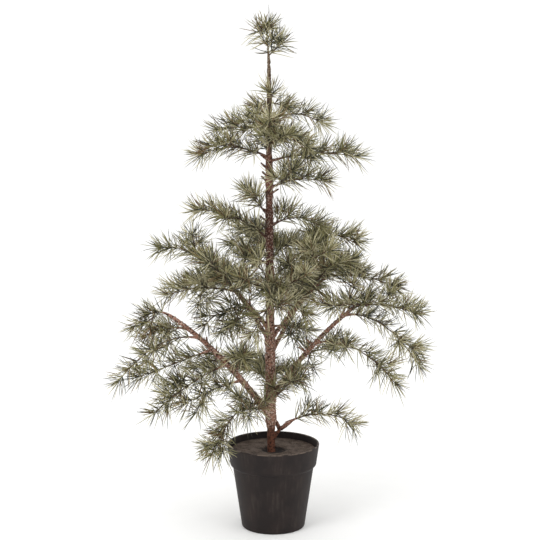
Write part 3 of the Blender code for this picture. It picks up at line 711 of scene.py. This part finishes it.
trunk_parts = [(trunk_points, trunk_faces)]
bough_parts = []
for name, limb in limbs.items():
    if name == "trunk":
        continue
    tube, faces = unit_tube(20, max(12, round(limb.reach / RING_GAP)))
    bough_parts.append((bark_points(limb, tube, 0.0, 1.0, [0.5 * KNOT_LENGTH]), faces))
    bough_parts += thorns(limb, limb.reach)
for parent, place, turn in SPURS:
    size = STUB if parent == "bough_foot_right" else 1.0
    reach = size * SPUR_REACH * rng.uniform(0.75, 1.15)
    aim = heading(turn, SPUR_RISE + rng.uniform(-8, 12))
    part = spur_part(limbs[parent], place, aim, reach, size * SPUR_R)
    (trunk_parts if parent == "trunk" else bough_parts).append(part)

# %% [markdown]
# ## Stems, side twigs and fine shoots
#
# Each mass keeps its own stem and side twigs. A moulded spray of the real tree carries finer
# shoots, so every twig now gets them too, by the same rule as its parents: a place, a turn
# away from the run, a reach and a little droop. They stand left and right by turns and get
# shorter towards the tip. A shoot that would come nearer to another mass than to its own is
# made shorter, or left out, which keeps the gaps between masses open to the sky.

# %% Grow the twigs
STEM_R = 0.0014
TIP_R = 0.0007
SIDE_R = 0.0012
SHOOT_R = 0.0009
SHOOT_GAP = 0.028
SHOOT_LONG = 0.022
SHOOT_SHORT = 0.010
SHOOT_TURN = 44
SHOOT_BARE = 0.016
SHOOT_DROOP = 0.08
LAST_SHOOT = 0.93
SHORTER = (1.0, 0.75, 0.5)
CELL_STEPS = 6


class Twig(Limb):
    """A limb that carries needles, and whose mass it belongs to."""

    def __init__(self, mass, order, *shape):
        super().__init__(*shape)
        self.mass, self.order = mass, order


def plan_twigs():
    """Every stem and side twig of every mass, and its parent's surface."""
    made = []
    for number, (name, (parent, stem_row, *side_rows)) in enumerate(MASSES.items()):
        place, turn, rise, reach, droop = stem_row
        stem = Twig(number, 0, limbs[parent].point(place), heading(turn, rise), reach, droop, STEM_R, TIP_R)
        stem.bare = float(limbs[parent].radius(place))
        made.append(stem)
        for place, turn, rise, reach, droop in side_rows:
            side = Twig(number, 1, stem.point(place), heading(turn, rise), reach, droop, SIDE_R, TIP_R)
            side.bare = STEM_R
            made.append(side)
    return made


def segments_of(lines, low=0.0, high=1.0, steps=10):
    """Starts and runs of the straight pieces that stand for each line."""
    shares = np.linspace(low, high, steps + 1)
    points = np.stack([line.point(shares) for line in lines])
    return points[:, :-1].reshape(-1, 3), (points[:, 1:] - points[:, :-1]).reshape(-1, 3)


def distances(points, starts, runs):
    """Each point's distance from every straight piece."""
    offset = points[:, None] - starts[None]
    share = np.clip((offset * runs).sum(2) / (runs ** 2).sum(1), 0, 1)
    return np.linalg.norm(offset - share[..., None] * runs, axis=2)


twigs = plan_twigs()
starts, runs = segments_of(twigs, steps=CELL_STEPS)
owners = np.repeat([twig.mass for twig in twigs], CELL_STEPS)


def keeps_to_cell(shoot, mass):
    away = distances(shoot.point(np.array((0.5, 1.0, 1.35))), starts, runs)
    own = away[:, owners == mass].min(1)
    other = away[:, owners != mass].min(1)
    return bool((own < other).all())


def grow_shoots(twig, rng):
    """The fine shoots of one twig, left and right by turns."""
    made = []
    first = (twig.bare + SHOOT_BARE) / twig.reach
    places = np.arange(first, LAST_SHOOT, SHOOT_GAP / twig.reach)
    hand = rng.choice((-1, 1))
    for place in places:
        hand = -hand
        place = min(LAST_SHOOT, place + rng.uniform(-0.2, 0.2) * SHOOT_GAP / twig.reach)
        along = twig.along(place)
        level, up = across(along)
        turn = math.radians(SHOOT_TURN + rng.uniform(-9, 9))
        tilt = math.radians(rng.uniform(-15, 50))
        sideways = level * hand * math.cos(tilt) + up * math.sin(tilt)
        aim = along * math.cos(turn) + sideways * math.sin(turn)
        full = (SHOOT_LONG + (SHOOT_SHORT - SHOOT_LONG) * place) * rng.uniform(0.8, 1.15)
        for share in SHORTER:
            reach = full * share
            shoot = Twig(twig.mass, 2, twig.point(place), aim, reach, SHOOT_DROOP * reach, SHOOT_R, TIP_R)
            shoot.bare = STEM_R
            if keeps_to_cell(shoot, twig.mass):
                made.append(shoot)
                break
    return made


rng = np.random.default_rng(SEED)
shoots = [shoot for twig in twigs for shoot in grow_shoots(twig, rng)]
grown = twigs + shoots
print("twigs:", len(twigs), "shoots:", len(shoots))
print("run of them all in m:", round(sum(twig.reach for twig in grown), 1))

# %% [markdown]
# ## Tufts of needles
#
# The needles of a cedar stand in tufts on short knobs. In the moulded copy every tuft is a
# fan that leans forward along the twig and a little up, with fewer and longer needles below.
# At the tip they close into a brush, with one more tuft just behind it. Each tuft is worked
# out at once: its needles are dealt round the twig at even angles with a seeded jitter.

# %% Deal out the needles
NEEDLE = 0.0245
NEEDLE_SPREAD = 0.24
TUFT_GAP = (0.0140, 0.0130, 0.0115)
TUFT_COUNT = (14, 13, 11)
TIP_COUNT = 22
TIP_BACK = 0.005
ROOT_BARE = (0.015, 0.006, 0.004)
LEAN = 54
LEAN_SPREAD = 15
UPRIGHT_LEAN = 38
TIP_LEAN = (4, 72)
LIFT = 0.20
BELOW_KEPT = 0.6
BELOW_LONGER = 1.10
CURL = 0.16
UNDERSIDE = -0.35
TUFT_DEPTH = 0.0016


def tuft(twig, share, count, leans, rng):
    """Root, aim, curl and length of each needle of one tuft."""
    along = twig.along(share)
    level, up = across(along)
    start = rng.uniform(0, 2 * math.pi)
    angle = start + 2 * math.pi * (np.arange(count) + rng.uniform(-0.35, 0.35, count)) / count
    outward = level * np.cos(angle)[:, None] + up * np.sin(angle)[:, None]
    lean = np.radians(leans + UPRIGHT_LEAN * max(0.0, along[2]) ** 4)[:, None]
    aim = unit(along * np.cos(lean) + outward * np.sin(lean) + UP * LIFT * (1 - max(0.0, along[2]) ** 2))
    spread = rng.uniform(-TUFT_DEPTH, TUFT_DEPTH, count)[:, None]
    root = twig.point(share) + along * spread + outward * twig.radius(share) * 0.5
    below = outward[:, 2] < UNDERSIDE
    length = NEEDLE * (1 + rng.uniform(-NEEDLE_SPREAD, NEEDLE_SPREAD, count))
    length = np.where(below, length * BELOW_LONGER, length)
    curl = along * rng.uniform(-0.6, 1.8, count)[:, None] * CURL
    curl -= UP * np.where(below, CURL, -0.4 * CURL)[:, None]
    curl += np.cross(along, outward) * rng.normal(0, CURL, count)[:, None]
    kept = ~below | (rng.random(count) < BELOW_KEPT)
    return [column[kept] for column in (root, aim, curl, length)]


def tufts_of(twig, rng):
    """All tufts of one twig, the last one a brush at its tip."""
    bare = (twig.bare + ROOT_BARE[twig.order]) / twig.reach
    gap = TUFT_GAP[twig.order] / twig.reach
    places = np.arange(bare, 1 - 0.9 * gap, gap)
    for place in places:
        leans = LEAN + rng.uniform(-LEAN_SPREAD, LEAN_SPREAD, TUFT_COUNT[twig.order]) + rng.uniform(-5, 5)
        yield tuft(twig, place, TUFT_COUNT[twig.order], leans, rng)
    leans = LEAN + rng.uniform(-LEAN_SPREAD, LEAN_SPREAD, TUFT_COUNT[twig.order])
    yield tuft(twig, 1 - TIP_BACK / twig.reach, TUFT_COUNT[twig.order], leans, rng)
    yield tuft(twig, 1.0, TIP_COUNT, rng.uniform(*TIP_LEAN, TIP_COUNT), rng)


# %% [markdown]
# ## Colour by spray
#
# The crown is a grey olive, but no two sprays match: some came paler from the powder that
# frosts them, some are a deeper green, some have browned. A colour that belongs to a place
# is a plain base colour on its own joined mesh, so a seeded draw gives each spray one of four
# tones. Within a spray many needles take another tone at random. The palest and the darkest
# tones are partly the sprays' own colours and partly painted highlight and painted shade,
# standing in for lit and shaded needles; dealt needle by needle, they give the crown its fine
# contrast.

# %% Deal the tones
# The palest tone is partly painted highlight and the darkest partly painted shade, beside the sprays' real
# colours.
TONES = {
    "frosted_and_painted_highlight": ("#bfb894", 0.31),
    "olive": ("#858156", 0.31),
    "deep_and_painted_shade": ("#383825", 0.29),
    "browned": ("#745a39", 0.09),
}
# Needles that take a tone at random carry the painted highlight and shade needle by needle.
STRAY_NEEDLE = 0.75

names = list(TONES)
weights = [share for _, share in TONES.values()]
rng = np.random.default_rng(SEED + 1)
tufts, tones = [], []
for twig in grown:
    own_tone = rng.choice(len(names), p=weights)
    for rows in tufts_of(twig, rng):
        count = len(rows[0])
        strays = rng.choice(len(names), count, p=weights)
        tones.append(np.where(rng.random(count) < STRAY_NEEDLE, strays, own_tone))
        tufts.append(rows)
tones = np.concatenate(tones)
columns = [np.concatenate(column) for column in zip(*tufts)]
needles = {name: [column[tones == number] for column in columns] for number, name in enumerate(names)}
print("needles:", {tone: len(columns[0]) for tone, columns in needles.items()})

# %% [markdown]
# ## Needles keep off the wood and the pot
#
# A needle that would run through the trunk, a bough or the pot is left out. The limbs are
# tested as round bars between straight steps, at four places along each needle.

# %% Clear the wood and the pot
CLEAR = 0.0008
CHECKS = (0.35, 0.6, 0.8, 1.0)
wood = [(limbs["trunk"], TRUNK_FOOT_Z, TRUNK_TOP_Z)] + [(limbs[name], 0.0, 1.0) for name in BOUGHS]
wood_rows = [
    (*segments_of([limb], low, high), limb.radius(np.linspace(low, high, 11)[:-1]))
    for limb, low, high in wood
]
wood_starts, wood_runs, wood_r = (np.concatenate(column) for column in zip(*wood_rows))


def is_clear(root, aim, length):
    """Which needles miss the wood, the pot and the ground."""
    clear = np.ones(len(root), bool)
    for share in CHECKS:
        points = root + aim * (length * share)[:, None]
        off_wood = (distances(points, wood_starts, wood_runs) - wood_r).min(1) > CLEAR
        beside_pot = np.hypot(points[:, 0], points[:, 1]) > RIM_R + CLEAR
        over_pot = points[:, 2] > POT_HEIGHT + CLEAR
        clear &= off_wood & (beside_pot | over_pot) & (points[:, 2] > CLEAR)
    return clear


for tone, columns in needles.items():
    clear = is_clear(columns[0], columns[1], columns[3])
    needles[tone] = [column[clear] for column in columns]
print("needles kept:", sum(len(columns[0]) for columns in needles.values()))

# %% [markdown]
# ## One needle, many times
#
# A needle is a slim three-sided spindle of eighteen faces: pointed at both ends and nearly
# even between them. Its eleven points are laid along every needle at once, bent by the curl,
# and joined into one mesh a tone. At 1.1 mm it is a little wider than life, so that the crown
# does not look thin.

# %% Build the needle meshes
NEEDLE_R = 0.00054
NEEDLE_PROFILE = [(0, 0), (1.0, 0.08), (1.0, 0.40), (0.92, 0.72), (0, 1)]
LIMIT = 190000

needle_points, needle_faces = listed(turned(NEEDLE_PROFILE, 3))
print("faces a needle:", len(needle_faces))


def needle_mesh(name, root, aim, curl, length):
    """Lay the spindle along every needle of one tone."""
    share = needle_points[None, :, 2:3]
    level, up = across(aim)
    run = aim[:, None] * share + curl[:, None] * share ** 2
    section = level[:, None] * needle_points[None, :, :1] + up[:, None] * needle_points[None, :, 1:2]
    points = root[:, None] + run * length[:, None, None] + section * NEEDLE_R
    count = len(needle_points)
    faces = needle_faces[None] + count * np.arange(len(root))[:, None, None]
    return mesh_from(name, points.reshape(-1, 3), faces.reshape(-1, 3))


# %% [markdown]
# ## The needles' plastic
#
# Polyethylene, moulded in fans, with a dusting of pale powder that was blown on warm. It is
# soft and dull, with a faint sheen from the powder where a needle turns away. Each tone is one
# base colour set on the shader itself; only the roughness and a fine bump vary.

# %% Finish the needles
for tone, columns in needles.items():
    moulded, tree, shader = new_material("moulded_polyethylene_needles_" + tone, 0.6, 1.51, 0.35)
    shader.inputs["Base Color"].default_value = linear(TONES[tone][0])
    shader.inputs["Sheen Weight"].default_value = 0.05
    shader.inputs["Sheen Roughness"].default_value = 0.5
    powder = blotches(tree, 2.5, 2.0)
    dull = graded(tree, powder, 0.35, 0.65, 0.5, 0.8)
    connect(tree, shader, roughness=dull, normal=bumped(tree, powder, 0.15))
    pieces = math.ceil(len(columns[0]) * len(needle_faces) / LIMIT)
    for number, rows in enumerate(zip(*(np.array_split(column, pieces) for column in columns))):
        name = f"needles_{tone}_{number + 1}" if pieces > 1 else "needles_" + tone
        finish_piece(name, needle_mesh(name, *rows), moulded, list(MASSES))

# %% [markdown]
# ## Stems and sleeves
#
# The plastic stems are slim and slightly knobbly where the tufts spring from. Each is a
# five-sided tube bent along its twig, so all of them join into one mesh. At its root on the
# wood a stem gets its taped sleeve, which belongs with the bark.

# %% Build the stems
STEM_RINGS = 9
KNOBS = 0.16
SLEEVE_OVER = 0.0001

stem_tube, stem_faces = unit_tube(5, STEM_RINGS)
sleeve_tube, sleeve_faces = unit_tube(9, 8)
rng = np.random.default_rng(SEED + 2)
stem_parts = []
for twig in grown:
    knobbly = 1 + KNOBS * rng.standard_normal(len(stem_tube))
    stem_parts.append((bent(stem_tube, twig, 0.0, 1.0, twig.radius(stem_tube[:, 2]) * knobbly), stem_faces))
for twig, (parent, *_) in zip([twig for twig in twigs if twig.order == 0], MASSES.values()):
    end = (twig.bare + SLEEVE) / twig.reach
    share = end * sleeve_tube[:, 2]
    swell = SLEEVE_R * (1 - sleeve_tube[:, 2]) ** 1.3 * (1 + 0.2 * rng.standard_normal(len(share)))
    wide = twig.radius(share) + swell + SLEEVE_OVER
    part = bent(sleeve_tube, twig, 0.0, end, wide), sleeve_faces
    (trunk_parts if parent == "trunk" else bough_parts).append(part)

# %% [markdown]
# ## Bark and stem finishes
#
# The tape is creped kraft paper, dyed red-brown and flecked with pale flock that was shaken
# on low down. Inside the crown it is painted darker, darkest about 0.47 to 0.49 m up, as
# painted shade of the foliage round it, and it is grey where the trunk thins to a twig. The
# stems are dyed plastic, a dark green-brown, with the needles' pale powder on them.

# %% Finish the bark and stems
tape, tree, shader = new_material("creped_kraft_tape_flocked", 0.9, 1.45, 0.25)
height = add_node(tree, "SeparateXYZ", {0: add_node(tree, "TexCoord").outputs["Object"]}).outputs["Z"]
taped = graded(tree, height, TAPE_END_Z, TAPE_END_Z + TAPE_FADE)
# Painted shade of the crown: from 0.34 m up the tape turns darker, darkest about 0.47 to 0.49 m, and
# lighter again above.
into_crown_shade = graded(tree, height, 0.34, 0.42)
mid_to_top = graded(tree, height, 0.56, 0.62)
ground = mixed(tree, taped, "#6b4434", "#9c7463")
ground = mixed(tree, into_crown_shade, ground, "#69453a")
ground = mixed(tree, graded(tree, height, 0.41, 0.47), ground, "#4a2d25")
ground = mixed(tree, graded(tree, height, 0.49, 0.53), ground, "#765142")
ground = mixed(tree, mid_to_top, ground, "#6f604d")
# Painted shade: the tape is darker in blotches about the size of its creases, for the shade in its folds.
painted_crease_shade = graded(tree, blotches(tree, 3.2, 3.0), 0.36, 0.60)
shaded = mixed(tree, painted_crease_shade, "#38251e", ground)
flecks = graded(tree, blotches(tree, 2.2, 1.0), 0.54, 0.64)
fading = graded(tree, height, 0.22, 0.62, 0.80, 0.25)
kept = add_node(tree, "Math", {0: taped, 1: fading}, operation="MULTIPLY").outputs[0]
flocked = add_node(tree, "Math", {0: flecks, 1: kept}, operation="MULTIPLY").outputs[0]
coloured = mixed(tree, flocked, shaded, "#cbb5a7")
connect(tree, shader, base_color=coloured, normal=bumped(tree, blotches(tree, 1.5, 2.0), 0.35))
finish_piece("trunk_bark", mesh_from("trunk_bark", *joined(trunk_parts)), tape, ["trunk"])
finish_piece("bough_bark", mesh_from("bough_bark", *joined(bough_parts)), tape, list(BOUGHS))

stem_plastic, tree, shader = new_material("dyed_polyethylene_stems", 0.7, 1.51, 0.3)
dye = mixed(tree, graded(tree, blotches(tree, 6.0, 2.0), 0.40, 0.62), "#443429", "#6a5a49")
connect(tree, shader, base_color=dye, normal=bumped(tree, blotches(tree, 1.5, 1.0), 0.2))
stem_mesh = mesh_from("needle_stems", *joined(stem_parts))
finish_piece("needle_stems", stem_mesh, stem_plastic, list(MASSES))

# %% [markdown]
# ## Floor and light
#
# The photograph is cut out on white. A wide white floor under an even white sky comes
# closest, with one large soft lamp high on the left and a weaker one on the right to model
# the needles. The Standard view keeps the hex colours as they were written.

# %% Set the stage
FLOOR_SIDE = 60
sheet = bmesh.new()
bmesh.ops.create_grid(sheet, x_segments=1, y_segments=1, size=FLOOR_SIDE / 2)
floor = bpy.data.objects.new("studio_floor", mesh_of("studio_floor", sheet))
bpy.context.scene.collection.objects.link(floor)
paint, tree, shader = new_material("matt_white_painted_board", 0.9, 1.5, 0.2)
speckle = mixed(tree, blotches(tree, 40.0, 2.0), "#f6f6f5", "#fafaf9")
connect(tree, shader, base_color=speckle)
floor.data.materials.append(paint)
floor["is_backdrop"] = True


def soft_lamp(name, place, target, side, power):
    """A square area lamp that faces a target."""
    lamp = bpy.data.lights.new(name, "AREA")
    lamp.size = side
    lamp.energy = power
    made = bpy.data.objects.new(name, lamp)
    made.location = place
    made.rotation_euler = (Vector(target) - Vector(place)).to_track_quat("-Z", "Y").to_euler()
    bpy.context.scene.collection.objects.link(made)


CROWN = (0, 0, 0.4)
soft_lamp("key_softbox", (-1.5, -1.8, 2.3), CROWN, 1.2, 26)
soft_lamp("fill_softbox", (2.0, -1.6, 1.2), CROWN, 1.6, 8)
sky = bpy.data.worlds.new("white_studio")
bpy.context.scene.world = sky
sky.use_nodes = True
sky.node_tree.nodes["Background"].inputs["Color"].default_value = (1, 1, 1, 1)
sky.node_tree.nodes["Background"].inputs["Strength"].default_value = 1.12
bpy.context.scene.view_settings.view_transform = "Standard"
bpy.context.scene.view_settings.look = "None"

# %% [markdown]
# ## Size
#
# The dressed tree's box is measured again, and the last lines print how far each of its corners
# lies from the CAD box.

VISUAL_BOX = [list(corner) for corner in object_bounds()]
for corner, (cad, seen) in enumerate(zip(CAD_BOX, VISUAL_BOX)):
    print("corner", corner, "off by mm:", [round((b - a) * 1000, 1) for a, b in zip(cad, seen)])
